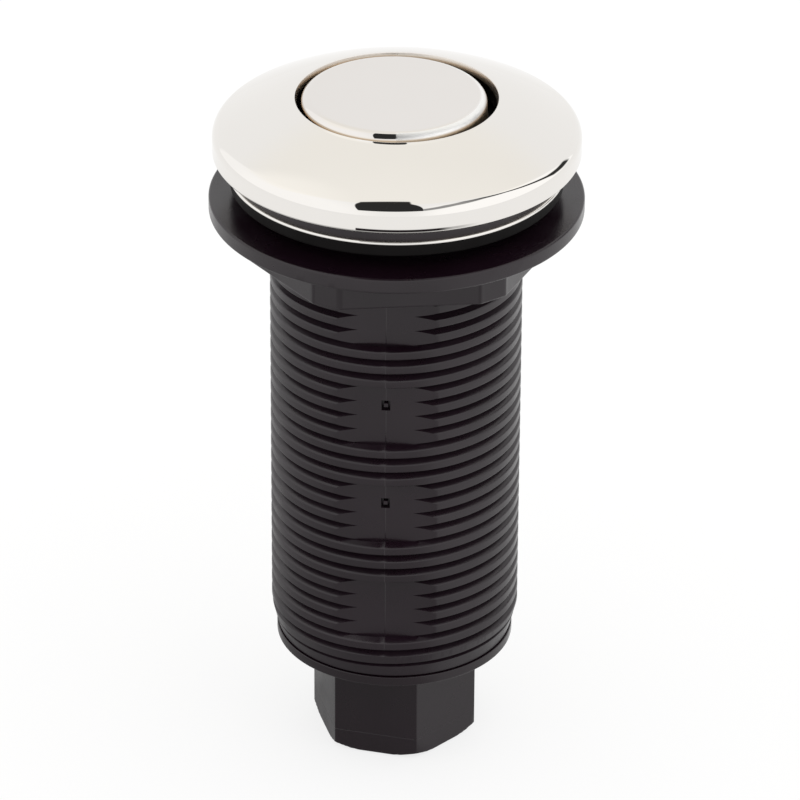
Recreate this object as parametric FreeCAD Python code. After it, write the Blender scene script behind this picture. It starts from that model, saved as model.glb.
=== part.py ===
import FreeCAD, Part
import math
import os

# Sink top air switch, standing upright on the hexagon of its end cap.
# Origin: centre of the hexagon's flat end, +Z up along the barrel, front towards -Y.
# All sizes are in millimetres and degrees.

# Barrel
CREST_RADIUS = 15.875
THREAD_DEPTH = 0.83
THREAD_PITCH = 2.0
THREAD_ANGLE = 60.0
THREAD_FIRST = 1.78
BARREL_LENGTH = 67.8
BARREL_WALL = 2.445
MOUTH_WALL = 1.095
LEAD_IN_HEIGHT = 3.4
LEAD_IN_DEPTH = 0.85
HEAD_OVERHANG = 3.125
HEAD_THICK = 3.0
HEAD_RELIEF = 0.6
RELIEF_UNDERCUT = 0.1
WEB_HEIGHT = 38.6
WEB_THICK = 3.0

# Flats moulded into the thread, front and back, in rows counted in thread turns
FLAT_DEPTH = 0.415
FLAT_DIRECTION = -94.7
FLAT_FIRST_TURN = 2
FLAT_TURNS = 4
FLAT_STEP_TURNS = 7
FLAT_ROWS = 4

# End cap
HEX_FLATS = 18.8
HEX_HEIGHT = 13.9
HEX_DIRECTION = -14.6
HEX_FOOT_INSET = 1.155
HEX_FOOT_HEIGHT = 0.9
HEX_WALL = 2.0
DISC_INSET = 0.675
DISC_THICK = 1.5
SEAM_HEIGHT = 0.2
SEAM_DEPTH = 0.5
SPIGOT_HEIGHT = 7.0
SPIGOT_WALL = 2.95
CAP_FLOOR = 3.0
NIPPLE_RADIUS = 2.0
NIPPLE_LENGTH = 10.2
NIPPLE_TIP = 0.4
AIR_BORE = 1.1
STUB_RADIUS = 3.85
STUB_HEIGHT = 5.6

# Rubber ring in a groove of the end cap
O_RING_SECTION = 1.6
O_RING_HEIGHT = 3.6
O_RING_GROOVE_WIDTH = 2.2

# Flange nut
NUT_WALL = 2.745
NUT_CORNER_CUT = 1.053
NUT_FLANGE_WIDTH = 4.63
NUT_FLANGE_THICK = 2.0
NUT_HEIGHT = 6.3
NUT_DIRECTION = -84.6
NUT_EDGE_ROUND = 0.3
NUT_MOUTH = 0.6
NUT_GAP = 1.7

# Rubber gasket under the trim, a little inside the trim's lip
GASKET_INSET = 0.3
GASKET_THICK = 1.6
GASKET_EDGE = 0.25

# Trim, turned from metal: a neck round the barrel's head, a lip below and a dome above
NECK_WALL = 1.4
NECK_BAND_WALL = 0.3
LIP_OVERHANG = 0.6
TRIM_OVERHANG = 2.45
HOLE_GAP = 1.03
DOME_RADIUS = 46.0
DOME_RISE = 6.9
TRIM_EDGE_ROUND = 1.9
TRIM_FOOT_ROUND = 0.4
HOLE_ROUND = 0.5
TRIM_WALL = 1.4
HOLE_LIP_WIDTH = 1.03
HOLE_LIP_HEIGHT = 2.4
SHELF_HEIGHT = 2.6
LIP_THICK = 0.58

# Wire ring that holds the trim on the barrel's head
SNAP_WIRE = 1.0
SNAP_HEIGHT = 1.5
SNAP_GROOVE_SPARE = 0.05
SNAP_GAP_ANGLE = 24.0

# Flat seal on the barrel's head
HEAD_SEAL_THICK = 1.0
HEAD_SEAL_WIDTH = 2.2

# Guide ring and wiper seal in the barrel's mouth
GUIDE_DEPTH = 7.2
GUIDE_WALL = 2.26
GUIDE_FLANGE_WIDTH = 2.5
GUIDE_FLANGE_THICK = 1.2
WIPER_WIDTH = 2.6
WIPER_BASE = 1.0
WIPER_LIP_HEIGHT = 1.0
WIPER_LIP_WALL = 0.5

# Button cap
BUTTON_PROUD = 0.55
BUTTON_EDGE_ROUND = 1.0
BUTTON_TOP_THICK = 1.0
BUTTON_WALL = 0.8
BUTTON_HEIGHT = 10.25

# Plunger
PLUNGER_HEAD_THICK = 3.0
STEM_RADIUS = 4.0
STEM_CORE = 2.2
STEM_CORE_DEPTH = 26.0
RIB_COUNT = 4
RIB_THICK = 1.6
RIB_RADIUS = 6.9
RIB_HEIGHT = 9.0
CLIP_GROOVE_RADIUS = 3.2

# Stem clip and the ring above it
CLIP_THICK = 0.8
CLIP_RADIUS = 6.3
CLIP_MOUTH = 5.4
REBOUND_THICK = 1.0
REBOUND_RADIUS = 7.5

# Guide bush in the barrel's web
BUSH_WALL = 1.94
BUSH_FLANGE_RADIUS = 7.2
BUSH_FLANGE_THICK = 1.2

# Return spring and its seat
SPRING_RADIUS = 8.2
SPRING_WIRE = 0.9
SPRING_TURNS = 5.0
SEAT_THICK = 0.8

# Bellows and the band round its neck
BELLOWS_NECK_WALL = 1.2
BELLOWS_NECK_HEIGHT = 6.5
BELLOWS_FOLDS = 6
BELLOWS_GAP = 1.2
BELLOWS_FOLD_DEPTH = 3.0
BELLOWS_WALL = 0.9
BELLOWS_SHOULDER = 0.7
BELLOWS_TOP_THICK = 1.6
BELLOWS_HEIGHT = 32.2
BAND_WALL = 0.8
BAND_WIDTH = 2.5
BAND_HEIGHT = 2.0
BAND_EAR = 2.2
BAND_EAR_THICK = 0.9
BAND_EAR_GAP = 1.4

# Clearances between mating pieces
FIT = 0.05
RUNNING = 0.10
THREAD_PLAY = 0.2

# How far a cutter stands out past the surface that it cuts
CUT_SPARE = 0.3

# From a hexagon's corner to the middle of the next face, in degrees
HEX_HALF_STEP = 30.0

# Heights that follow from the sizes above
BARREL_BOTTOM = HEX_HEIGHT + DISC_THICK
BARREL_TOP = BARREL_BOTTOM + BARREL_LENGTH
HEAD_BOTTOM = BARREL_TOP - HEAD_THICK
WEB_BOTTOM = BARREL_BOTTOM + WEB_HEIGHT
WEB_TOP = WEB_BOTTOM + WEB_THICK
GASKET_BOTTOM = HEAD_BOTTOM - GASKET_THICK
NUT_TOP = GASKET_BOTTOM - NUT_GAP
DOME_TOP = BARREL_TOP + DOME_RISE
BUTTON_TOP = DOME_TOP + BUTTON_PROUD
BUTTON_BOTTOM = BUTTON_TOP - BUTTON_HEIGHT
PLUNGER_TOP = BUTTON_TOP - BUTTON_TOP_THICK
PLUNGER_HEAD_BOTTOM = PLUNGER_TOP - PLUNGER_HEAD_THICK
CLIP_TOP = WEB_BOTTOM - REBOUND_THICK
CLIP_BOTTOM = CLIP_TOP - CLIP_THICK
SEAT_TOP = WEB_TOP + SEAT_THICK
BELLOWS_TOP = BARREL_BOTTOM + BELLOWS_HEIGHT
SNAP_LEVEL = HEAD_BOTTOM + SNAP_HEIGHT
GUIDE_TOP = BARREL_TOP + GUIDE_FLANGE_THICK

# Radii that follow from the sizes above
ROOT_RADIUS = CREST_RADIUS - THREAD_DEPTH
RELIEF_RADIUS = ROOT_RADIUS - RELIEF_UNDERCUT
GROOVE_SLOPE = math.tan(math.radians(THREAD_ANGLE / 2))
GROOVE_HALF = THREAD_DEPTH * GROOVE_SLOPE
FLAT_DISTANCE = ROOT_RADIUS - FLAT_DEPTH
BARREL_BORE = ROOT_RADIUS - BARREL_WALL
MOUTH_RADIUS = ROOT_RADIUS - MOUTH_WALL
HEAD_RADIUS = CREST_RADIUS + HEAD_OVERHANG
DISC_RADIUS = CREST_RADIUS - DISC_INSET
GUIDE_RADIUS = MOUTH_RADIUS - FIT
GUIDE_BORE = GUIDE_RADIUS - GUIDE_WALL
BUTTON_RADIUS = GUIDE_BORE - RUNNING
TRIM_BORE = HEAD_RADIUS + RUNNING
TRIM_HOLE = BUTTON_RADIUS + HOLE_GAP
NECK_RADIUS = TRIM_BORE + NECK_WALL
NECK_SEAT = NECK_RADIUS - NECK_BAND_WALL
LIP_RADIUS = NECK_RADIUS + LIP_OVERHANG
TRIM_RADIUS = NECK_RADIUS + TRIM_OVERHANG
GASKET_RADIUS = LIP_RADIUS - GASKET_INSET
SNAP_RADIUS = HEAD_RADIUS + RUNNING / 2
PLUNGER_RADIUS = BUTTON_RADIUS - BUTTON_WALL - FIT
BUSH_BORE = STEM_RADIUS + RUNNING
BUSH_RADIUS = BUSH_BORE + BUSH_WALL
SPIGOT_RADIUS = BARREL_BORE - FIT
BELLOWS_NECK_BORE = STUB_RADIUS + FIT
BELLOWS_CREST = BARREL_BORE - BELLOWS_GAP
BELLOWS_ROOT = BELLOWS_CREST - BELLOWS_FOLD_DEPTH
NUT_BORE = CREST_RADIUS + THREAD_PLAY
NUT_COLLAR = NUT_BORE + NUT_WALL
NUT_FLANGE_RADIUS = NUT_COLLAR + NUT_FLANGE_WIDTH
HEX_CORNER = HEX_FLATS / 2 / math.cos(math.radians(HEX_HALF_STEP))
SOCKET_RADIUS = HEX_FLATS / 2 - HEX_WALL


def vector(radius, height):
    """A point of a turned outline, in the plane of X and Z."""
    return FreeCAD.Vector(radius, 0, height)


def polar(radius, angle, height=0.0):
    """A point at a radius and a direction in degrees."""
    turn = math.radians(angle)
    return FreeCAD.Vector(radius * math.cos(turn), radius * math.sin(turn), height)


def turned(start, *moves):
    """Turn a closed outline about the axis. A move is an end point, or a mid and an end of an arc."""
    edges = []
    here = vector(*start)
    for move in moves + (start,):
        if isinstance(move[0], tuple):
            middle = vector(*move[0])
            there = vector(*move[1])
            edges.append(Part.Arc(here, middle, there).toShape())
        else:
            there = vector(*move)
            if there.isEqual(here, 1e-9):
                continue
            edges.append(Part.LineSegment(here, there).toShape())
        here = there
    face = Part.Face(Part.Wire(edges))
    return face.revolve(FreeCAD.Vector(0, 0, 0), FreeCAD.Vector(0, 0, 1), 360)


def ring(inner, outer, bottom, top):
    """A plain ring, or a disc where the inner radius is zero."""
    return turned((inner, bottom), (outer, bottom), (outer, top), (inner, top))


def prism(sides, flats, direction, bottom, top):
    """A regular prism across flats, with one face pointing in the given direction."""
    half_side = 180.0 / sides
    corner = flats / 2 / math.cos(math.radians(half_side))
    step = 2 * half_side
    points = [polar(corner, direction + half_side + step * k, bottom) for k in range(sides)]
    face = Part.Face(Part.makePolygon(points + points[:1]))
    return face.extrude(FreeCAD.Vector(0, 0, top - bottom))


def block(length, width, height, x, y, z, direction=0.0):
    """A block whose inner face is at x along a direction, centred across it."""
    shape = Part.makeBox(length, width, height, FreeCAD.Vector(x, y - width / 2, z))
    shape.rotate(FreeCAD.Vector(0, 0, 0), FreeCAD.Vector(0, 0, 1), direction)
    return shape


def torus(radius, section, height):
    """A round-section ring."""
    return Part.makeTorus(radius, section / 2, FreeCAD.Vector(0, 0, height))


def arc_middle(centre, radius, start, end):
    """The point halfway along an arc, between two directions in degrees."""
    turn = math.radians((start + end) / 2)
    return (centre[0] + radius * math.cos(turn), centre[1] + radius * math.sin(turn))


def barrel_shaft():
    """The barrel's outside below its head: lead-in, crest cylinder and relief."""
    relief_bottom = HEAD_BOTTOM - HEAD_RELIEF
    return turned(
        (0, BARREL_BOTTOM),
        (CREST_RADIUS - LEAD_IN_DEPTH, BARREL_BOTTOM),
        (CREST_RADIUS, BARREL_BOTTOM + LEAD_IN_HEIGHT),
        (CREST_RADIUS, relief_bottom),
        (RELIEF_RADIUS, relief_bottom),
        (RELIEF_RADIUS, HEAD_BOTTOM),
        (0, HEAD_BOTTOM),
    )


def thread_groove():
    """Cutter for the thread: a V swept up a right-hand helix, from below the end to past the relief."""
    bottom = BARREL_BOTTOM + THREAD_FIRST - THREAD_PITCH
    helix = Part.makeLongHelix(THREAD_PITCH, HEAD_BOTTOM - bottom, ROOT_RADIUS, 0)
    outer = CREST_RADIUS + CUT_SPARE
    outer_half = GROOVE_HALF + CUT_SPARE * GROOVE_SLOPE
    points = [vector(ROOT_RADIUS, 0), vector(outer, outer_half), vector(outer, -outer_half)]
    section = Part.makePolygon(points + points[:1])
    shape = Part.Wire(helix).makePipeShell([section], True, True)
    shape.rotate(FreeCAD.Vector(0, 0, 0), FreeCAD.Vector(0, 0, 1), FLAT_DIRECTION)
    shape.translate(FreeCAD.Vector(0, 0, bottom))
    return shape


def barrel_flats():
    """Cutters for the flats: rows of blocks on the front and the back, from one groove to another."""
    first = BARREL_BOTTOM + THREAD_FIRST + FLAT_FIRST_TURN * THREAD_PITCH
    height = FLAT_TURNS * THREAD_PITCH + GROOVE_HALF
    width = 2 * CREST_RADIUS
    cutters = []
    for side in (0, 180):
        for row in range(FLAT_ROWS):
            bottom = first + row * FLAT_STEP_TURNS * THREAD_PITCH
            cutters.append(block(width, width, height, FLAT_DISTANCE, 0, bottom, FLAT_DIRECTION + side))
    return cutters


def threaded_barrel():
    """Plastic body: head over a helical thread with flats, bores from both ends, a web between."""
    shaft = barrel_shaft().cut(thread_groove()).cut(barrel_flats())
    shape = shaft.fuse(ring(0, HEAD_RADIUS, HEAD_BOTTOM, BARREL_TOP))
    shape = shape.cut(ring(0, BARREL_BORE, BARREL_BOTTOM, WEB_BOTTOM))
    shape = shape.cut(ring(0, BARREL_BORE, WEB_TOP, BARREL_TOP))
    shape = shape.cut(ring(0, BUSH_RADIUS + FIT, WEB_BOTTOM, WEB_TOP))
    shape = shape.cut(ring(0, MOUTH_RADIUS, BARREL_TOP - GUIDE_DEPTH, BARREL_TOP))
    groove_half = SNAP_WIRE / 2 + SNAP_GROOVE_SPARE
    groove_floor = SNAP_RADIUS - groove_half
    return shape.cut(ring(groove_floor, TRIM_RADIUS, SNAP_LEVEL - groove_half, SNAP_LEVEL + groove_half))


def trim_flange():
    """Metal trim: spherical dome with a rounded edge, shelf, neck and bright lip, hollow below."""
    crest_radius = TRIM_HOLE + HOLE_ROUND
    dome_centre = DOME_TOP - math.sqrt(DOME_RADIUS ** 2 - crest_radius ** 2)
    edge_centre_radius = TRIM_RADIUS - TRIM_EDGE_ROUND
    edge_reach = DOME_RADIUS - TRIM_EDGE_ROUND
    edge_centre_height = dome_centre + math.sqrt(edge_reach ** 2 - edge_centre_radius ** 2)
    edge_angle = math.degrees(math.acos(edge_centre_radius / edge_reach))
    crest_angle = math.degrees(math.acos(crest_radius / DOME_RADIUS))
    tangent = (
        DOME_RADIUS * math.cos(math.radians(edge_angle)),
        dome_centre + DOME_RADIUS * math.sin(math.radians(edge_angle)),
    )
    shelf = HEAD_BOTTOM + SHELF_HEIGHT
    seat = BARREL_TOP + HEAD_SEAL_THICK
    inner_dome = DOME_RADIUS - TRIM_WALL
    hollow_radius = HEAD_RADIUS - TRIM_WALL
    lip_outer = TRIM_HOLE + HOLE_LIP_WIDTH
    hollow_angle = math.degrees(math.acos(hollow_radius / inner_dome))
    lip_angle = math.degrees(math.acos(lip_outer / inner_dome))
    hollow_edge = (hollow_radius, dome_centre + inner_dome * math.sin(math.radians(hollow_angle)))
    lip_edge = (lip_outer, dome_centre + inner_dome * math.sin(math.radians(lip_angle)))
    lip_round = LIP_THICK / 2
    shape = turned(
        (TRIM_BORE, HEAD_BOTTOM),
        (LIP_RADIUS - lip_round, HEAD_BOTTOM),
        ((LIP_RADIUS, HEAD_BOTTOM + lip_round), (LIP_RADIUS - lip_round, HEAD_BOTTOM + LIP_THICK)),
        (NECK_SEAT, HEAD_BOTTOM + LIP_THICK),
        (NECK_SEAT, shelf),
        (TRIM_RADIUS - TRIM_FOOT_ROUND, shelf),
        (
            arc_middle((TRIM_RADIUS - TRIM_FOOT_ROUND, shelf + TRIM_FOOT_ROUND), TRIM_FOOT_ROUND, -90, 0),
            (TRIM_RADIUS, shelf + TRIM_FOOT_ROUND),
        ),
        (TRIM_RADIUS, edge_centre_height),
        (arc_middle((edge_centre_radius, edge_centre_height), TRIM_EDGE_ROUND, 0, edge_angle), tangent),
        (arc_middle((0, dome_centre), DOME_RADIUS, edge_angle, crest_angle), (crest_radius, DOME_TOP)),
        (
            arc_middle((crest_radius, DOME_TOP - HOLE_ROUND), HOLE_ROUND, 90, 180),
            (TRIM_HOLE, DOME_TOP - HOLE_ROUND),
        ),
        (TRIM_HOLE, DOME_TOP - HOLE_LIP_HEIGHT),
        (lip_outer, DOME_TOP - HOLE_LIP_HEIGHT),
        lip_edge,
        (arc_middle((0, dome_centre), inner_dome, hollow_angle, lip_angle), hollow_edge),
        (hollow_radius, seat),
        (TRIM_BORE, seat),
    )
    groove_half = SNAP_WIRE / 2 + SNAP_GROOVE_SPARE
    groove_floor = SNAP_RADIUS + groove_half
    return shape.cut(ring(0, groove_floor, SNAP_LEVEL - groove_half, SNAP_LEVEL + groove_half))


def neck_band():
    """Dark plastic band around the trim's neck, between the lip and the shelf."""
    return ring(NECK_SEAT + FIT, NECK_RADIUS, HEAD_BOTTOM + LIP_THICK, HEAD_BOTTOM + SHELF_HEIGHT)


def trim_snap_ring():
    """Open wire ring, half in the barrel's head and half in the trim."""
    shape = torus(SNAP_RADIUS, SNAP_WIRE, SNAP_LEVEL)
    gap = 2 * SNAP_RADIUS * math.sin(math.radians(SNAP_GAP_ANGLE / 2))
    return shape.cut(block(2 * SNAP_WIRE, gap, 2 * SNAP_WIRE, SNAP_RADIUS - SNAP_WIRE, 0, SNAP_LEVEL - SNAP_WIRE))


def head_seal():
    """Flat rubber ring on the barrel's head."""
    outer = HEAD_RADIUS - FIT
    return ring(outer - HEAD_SEAL_WIDTH, outer, BARREL_TOP, BARREL_TOP + HEAD_SEAL_THICK)


def counter_gasket():
    """Rubber ring under the trim, with soft corners."""
    inner = CREST_RADIUS + RUNNING
    return turned(
        (inner, GASKET_BOTTOM),
        (GASKET_RADIUS - GASKET_EDGE, GASKET_BOTTOM),
        (GASKET_RADIUS, GASKET_BOTTOM + GASKET_EDGE),
        (GASKET_RADIUS, HEAD_BOTTOM),
        (inner, HEAD_BOTTOM),
    )


def flange_nut():
    """Plastic nut: round flange on a hexagonal collar whose corners are cut flat."""
    bottom = NUT_TOP - NUT_HEIGHT
    flange_bottom = NUT_TOP - NUT_FLANGE_THICK
    edge = NUT_FLANGE_RADIUS - NUT_EDGE_ROUND
    flange = turned(
        (0, flange_bottom),
        (edge, flange_bottom),
        (NUT_FLANGE_RADIUS, flange_bottom + NUT_EDGE_ROUND),
        (NUT_FLANGE_RADIUS, NUT_TOP - NUT_EDGE_ROUND),
        (edge, NUT_TOP),
        (0, NUT_TOP),
    )
    corner = NUT_COLLAR / math.cos(math.radians(HEX_HALF_STEP)) - NUT_CORNER_CUT
    collar = prism(6, 2 * NUT_COLLAR, NUT_DIRECTION, bottom, flange_bottom)
    corners = prism(6, 2 * corner, NUT_DIRECTION + HEX_HALF_STEP, bottom, flange_bottom)
    hole = turned(
        (0, bottom),
        (NUT_BORE + NUT_MOUTH, bottom),
        (NUT_BORE, bottom + NUT_MOUTH),
        (NUT_BORE, NUT_TOP - NUT_MOUTH),
        (NUT_BORE + NUT_MOUTH, NUT_TOP),
        (0, NUT_TOP),
    )
    return flange.fuse(collar.common(corners)).cut(hole).removeSplitter()


def cap_hexagon():
    """Hexagon with its lower corners cut back to a round foot."""
    hexagon = prism(6, HEX_FLATS, HEX_DIRECTION + HEX_HALF_STEP, 0, HEX_HEIGHT)
    foot = turned(
        (0, 0),
        (HEX_CORNER - HEX_FOOT_INSET, 0),
        (HEX_CORNER + CUT_SPARE, HEX_FOOT_HEIGHT),
        (HEX_CORNER + CUT_SPARE, HEX_HEIGHT),
        (0, HEX_HEIGHT),
    )
    return hexagon.common(foot)


def end_cap():
    """Plastic cap: hexagon with a tube nipple inside, disc, spigot with ring groove, bellows stub."""
    floor = BARREL_BOTTOM - CAP_FLOOR
    spigot_top = BARREL_BOTTOM + SPIGOT_HEIGHT
    groove = BARREL_BOTTOM + O_RING_HEIGHT
    groove_floor = BARREL_BORE - O_RING_SECTION - FIT
    nipple_tip = floor - NIPPLE_LENGTH
    disc = turned(
        (0, HEX_HEIGHT),
        (DISC_RADIUS, HEX_HEIGHT),
        (DISC_RADIUS, BARREL_BOTTOM - SEAM_HEIGHT),
        (DISC_RADIUS - SEAM_DEPTH, BARREL_BOTTOM - SEAM_HEIGHT),
        (DISC_RADIUS - SEAM_DEPTH, BARREL_BOTTOM),
        (0, BARREL_BOTTOM),
    )
    spigot = turned(
        (SPIGOT_RADIUS - SPIGOT_WALL, BARREL_BOTTOM),
        (SPIGOT_RADIUS, BARREL_BOTTOM),
        (SPIGOT_RADIUS, groove - O_RING_GROOVE_WIDTH / 2),
        (groove_floor, groove - O_RING_GROOVE_WIDTH / 2),
        (groove_floor, groove + O_RING_GROOVE_WIDTH / 2),
        (SPIGOT_RADIUS, groove + O_RING_GROOVE_WIDTH / 2),
        (SPIGOT_RADIUS, spigot_top),
        (SPIGOT_RADIUS - SPIGOT_WALL, spigot_top),
    )
    stub = ring(0, STUB_RADIUS, BARREL_BOTTOM, BARREL_BOTTOM + STUB_HEIGHT)
    nipple = turned(
        (0, nipple_tip),
        (NIPPLE_RADIUS - NIPPLE_TIP, nipple_tip),
        (NIPPLE_RADIUS, nipple_tip + NIPPLE_TIP),
        (NIPPLE_RADIUS, floor),
        (0, floor),
    )
    hexagon = cap_hexagon().cut(ring(0, SOCKET_RADIUS, 0, floor))
    shape = disc.fuse([hexagon, spigot, stub, nipple])
    shape = shape.cut(ring(0, AIR_BORE, nipple_tip, BARREL_BOTTOM + STUB_HEIGHT))
    return shape.removeSplitter()


def cap_o_ring():
    """Rubber ring in the end cap's groove."""
    return torus(BARREL_BORE - O_RING_SECTION / 2 - FIT / 2, O_RING_SECTION, BARREL_BOTTOM + O_RING_HEIGHT)


def guide_ring():
    """Plastic ring in the barrel's mouth, with a flange on the head."""
    bottom = BARREL_TOP - GUIDE_DEPTH
    return turned(
        (GUIDE_BORE, bottom),
        (GUIDE_RADIUS, bottom),
        (GUIDE_RADIUS, BARREL_TOP),
        (GUIDE_RADIUS + GUIDE_FLANGE_WIDTH, BARREL_TOP),
        (GUIDE_RADIUS + GUIDE_FLANGE_WIDTH, GUIDE_TOP),
        (GUIDE_BORE, GUIDE_TOP),
    )


def wiper_seal():
    """Rubber ring whose thin lip leans in towards the button's skirt."""
    inner = GUIDE_BORE + WIPER_LIP_WALL
    lip_top = GUIDE_TOP + WIPER_BASE + WIPER_LIP_HEIGHT
    return turned(
        (inner, GUIDE_TOP),
        (inner + WIPER_WIDTH, GUIDE_TOP),
        (inner + WIPER_WIDTH, GUIDE_TOP + WIPER_BASE),
        (inner + WIPER_LIP_WALL, GUIDE_TOP + WIPER_BASE),
        (GUIDE_BORE + WIPER_LIP_WALL, lip_top),
        (GUIDE_BORE, lip_top),
        (inner, GUIDE_TOP + WIPER_BASE),
    )


def button_cap():
    """Drawn metal cup with a flat top and a rounded edge."""
    inner = BUTTON_RADIUS - BUTTON_WALL
    edge = BUTTON_RADIUS - BUTTON_EDGE_ROUND
    edge_level = BUTTON_TOP - BUTTON_EDGE_ROUND
    return turned(
        (0, PLUNGER_TOP),
        (inner, PLUNGER_TOP),
        (inner, BUTTON_BOTTOM),
        (BUTTON_RADIUS, BUTTON_BOTTOM),
        (BUTTON_RADIUS, edge_level),
        (arc_middle((edge, edge_level), BUTTON_EDGE_ROUND, 0, 90), (edge, BUTTON_TOP)),
        (0, BUTTON_TOP),
    )


def plunger_rib(direction):
    """A web that tapers from the plunger's head down to its stem."""
    half = RIB_THICK / 2
    points = [
        FreeCAD.Vector(0, -half, PLUNGER_HEAD_BOTTOM),
        FreeCAD.Vector(RIB_RADIUS, -half, PLUNGER_HEAD_BOTTOM),
        FreeCAD.Vector(STEM_RADIUS, -half, PLUNGER_HEAD_BOTTOM - RIB_HEIGHT),
        FreeCAD.Vector(0, -half, PLUNGER_HEAD_BOTTOM - RIB_HEIGHT),
    ]
    face = Part.Face(Part.makePolygon(points + points[:1]))
    shape = face.extrude(FreeCAD.Vector(0, RIB_THICK, 0))
    shape.rotate(FreeCAD.Vector(0, 0, 0), FreeCAD.Vector(0, 0, 1), direction)
    return shape


def plunger():
    """Head pressed into the cap, ribs, and a stem that reaches down to the bellows."""
    head = ring(0, PLUNGER_RADIUS, PLUNGER_HEAD_BOTTOM, PLUNGER_TOP)
    stem = turned(
        (0, BELLOWS_TOP),
        (STEM_RADIUS, BELLOWS_TOP),
        (STEM_RADIUS, CLIP_BOTTOM),
        (CLIP_GROOVE_RADIUS, CLIP_BOTTOM),
        (CLIP_GROOVE_RADIUS, CLIP_TOP),
        (STEM_RADIUS, CLIP_TOP),
        (STEM_RADIUS, PLUNGER_HEAD_BOTTOM),
        (0, PLUNGER_HEAD_BOTTOM),
    )
    ribs = [plunger_rib(360.0 / RIB_COUNT * k) for k in range(RIB_COUNT)]
    core = ring(0, STEM_CORE, PLUNGER_TOP - STEM_CORE_DEPTH, PLUNGER_TOP)
    return head.fuse([stem] + ribs).cut(core).removeSplitter()


def stem_clip():
    """Flat steel clip, open on one side, in the stem's groove."""
    shape = ring(CLIP_GROOVE_RADIUS + FIT, CLIP_RADIUS, CLIP_BOTTOM, CLIP_TOP)
    return shape.cut(block(CLIP_RADIUS, CLIP_MOUTH, CLIP_THICK, 0, 0, CLIP_BOTTOM))


def rebound_washer():
    """Rubber ring that the clip comes up against."""
    return ring(BUSH_BORE, REBOUND_RADIUS, CLIP_TOP, WEB_BOTTOM)


def guide_bush():
    """Flanged bush in the barrel's web."""
    return turned(
        (BUSH_BORE, WEB_BOTTOM),
        (BUSH_RADIUS, WEB_BOTTOM),
        (BUSH_RADIUS, WEB_TOP),
        (BUSH_FLANGE_RADIUS, WEB_TOP),
        (BUSH_FLANGE_RADIUS, WEB_TOP + BUSH_FLANGE_THICK),
        (BUSH_BORE, WEB_TOP + BUSH_FLANGE_THICK),
    )


def spring_seat_washer():
    """Steel washer round the bush's flange."""
    return ring(BUSH_FLANGE_RADIUS + RUNNING, BARREL_BORE - RUNNING, WEB_TOP, SEAT_TOP)


def return_spring():
    """Compression spring of square wire between the seat and the plunger's head."""
    half = SPRING_WIRE / 2
    length = PLUNGER_HEAD_BOTTOM - SEAT_TOP - SPRING_WIRE
    helix = Part.makeHelix(length / SPRING_TURNS, length, SPRING_RADIUS)
    corners = [(-half, -half), (half, -half), (half, half), (-half, half)]
    points = [FreeCAD.Vector(SPRING_RADIUS + r, 0, z) for r, z in corners]
    section = Part.makePolygon(points + points[:1])
    shape = Part.Wire(helix).makePipeShell([section], True, True)
    shape.translate(FreeCAD.Vector(0, 0, SEAT_TOP + half))
    return shape


def bellows_side(offset, first, top):
    """The zigzag of one wall of the bellows, from its first root up to its last."""
    rise = (top - first) / BELLOWS_FOLDS
    points = [(BELLOWS_ROOT - offset, first)]
    for fold in range(BELLOWS_FOLDS):
        points.append((BELLOWS_CREST - offset, first + rise * (fold + 0.5)))
        points.append((BELLOWS_ROOT - offset, first + rise * (fold + 1)))
    return points


def bellows():
    """Rubber bellows with an open neck below and a thick closed top."""
    neck_outer = BELLOWS_NECK_BORE + BELLOWS_NECK_WALL
    neck_top = BARREL_BOTTOM + BELLOWS_NECK_HEIGHT
    first = neck_top + BELLOWS_SHOULDER
    last = BELLOWS_TOP - BELLOWS_TOP_THICK
    outside = bellows_side(0.0, first, last)
    inside = bellows_side(BELLOWS_WALL, first, last)
    inside.reverse()
    return turned(
        (BELLOWS_NECK_BORE, BARREL_BOTTOM),
        (neck_outer, BARREL_BOTTOM),
        (neck_outer, neck_top),
        *outside,
        (BELLOWS_ROOT, BELLOWS_TOP),
        (0, BELLOWS_TOP),
        (0, last),
        *inside,
        (BELLOWS_NECK_BORE, neck_top),
    )


def bellows_clamp():
    """Steel band round the neck, with two ears to squeeze it open."""
    inner = BELLOWS_NECK_BORE + BELLOWS_NECK_WALL + FIT
    outer = inner + BAND_WALL
    bottom = BARREL_BOTTOM + BAND_HEIGHT
    shape = ring(inner, outer, bottom, bottom + BAND_WIDTH)
    ear_start = inner + BAND_WALL / 2
    offset = (BAND_EAR_GAP + BAND_EAR_THICK) / 2
    ears = [block(BAND_EAR, BAND_EAR_THICK, BAND_WIDTH, ear_start, side * offset, bottom) for side in (-1, 1)]
    return shape.fuse(ears).removeSplitter()


SUBPARTS = (
    button_cap,
    plunger,
    stem_clip,
    trim_flange,
    neck_band,
    trim_snap_ring,
    head_seal,
    guide_ring,
    wiper_seal,
    counter_gasket,
    threaded_barrel,
    flange_nut,
    guide_bush,
    spring_seat_washer,
    rebound_washer,
    return_spring,
    bellows,
    bellows_clamp,
    end_cap,
    cap_o_ring,
)


def single_solid(shape):
    """The one solid of a shape, so that each piece is written as a single body."""
    solids = shape.Solids
    if len(solids) != 1:
        raise ValueError("expected one solid, found %d" % len(solids))
    return solids[0]


os.makedirs("parts", exist_ok=True)
for subpart in SUBPARTS:
    solid = single_solid(subpart())
    solid.exportStep("parts/%s.step" % subpart.__name__)
    print(subpart.__name__, "valid" if solid.isValid() else "NOT VALID", round(solid.Volume, 1))
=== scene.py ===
import math

import bmesh
import bpy
from mathutils import Matrix, Vector


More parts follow.
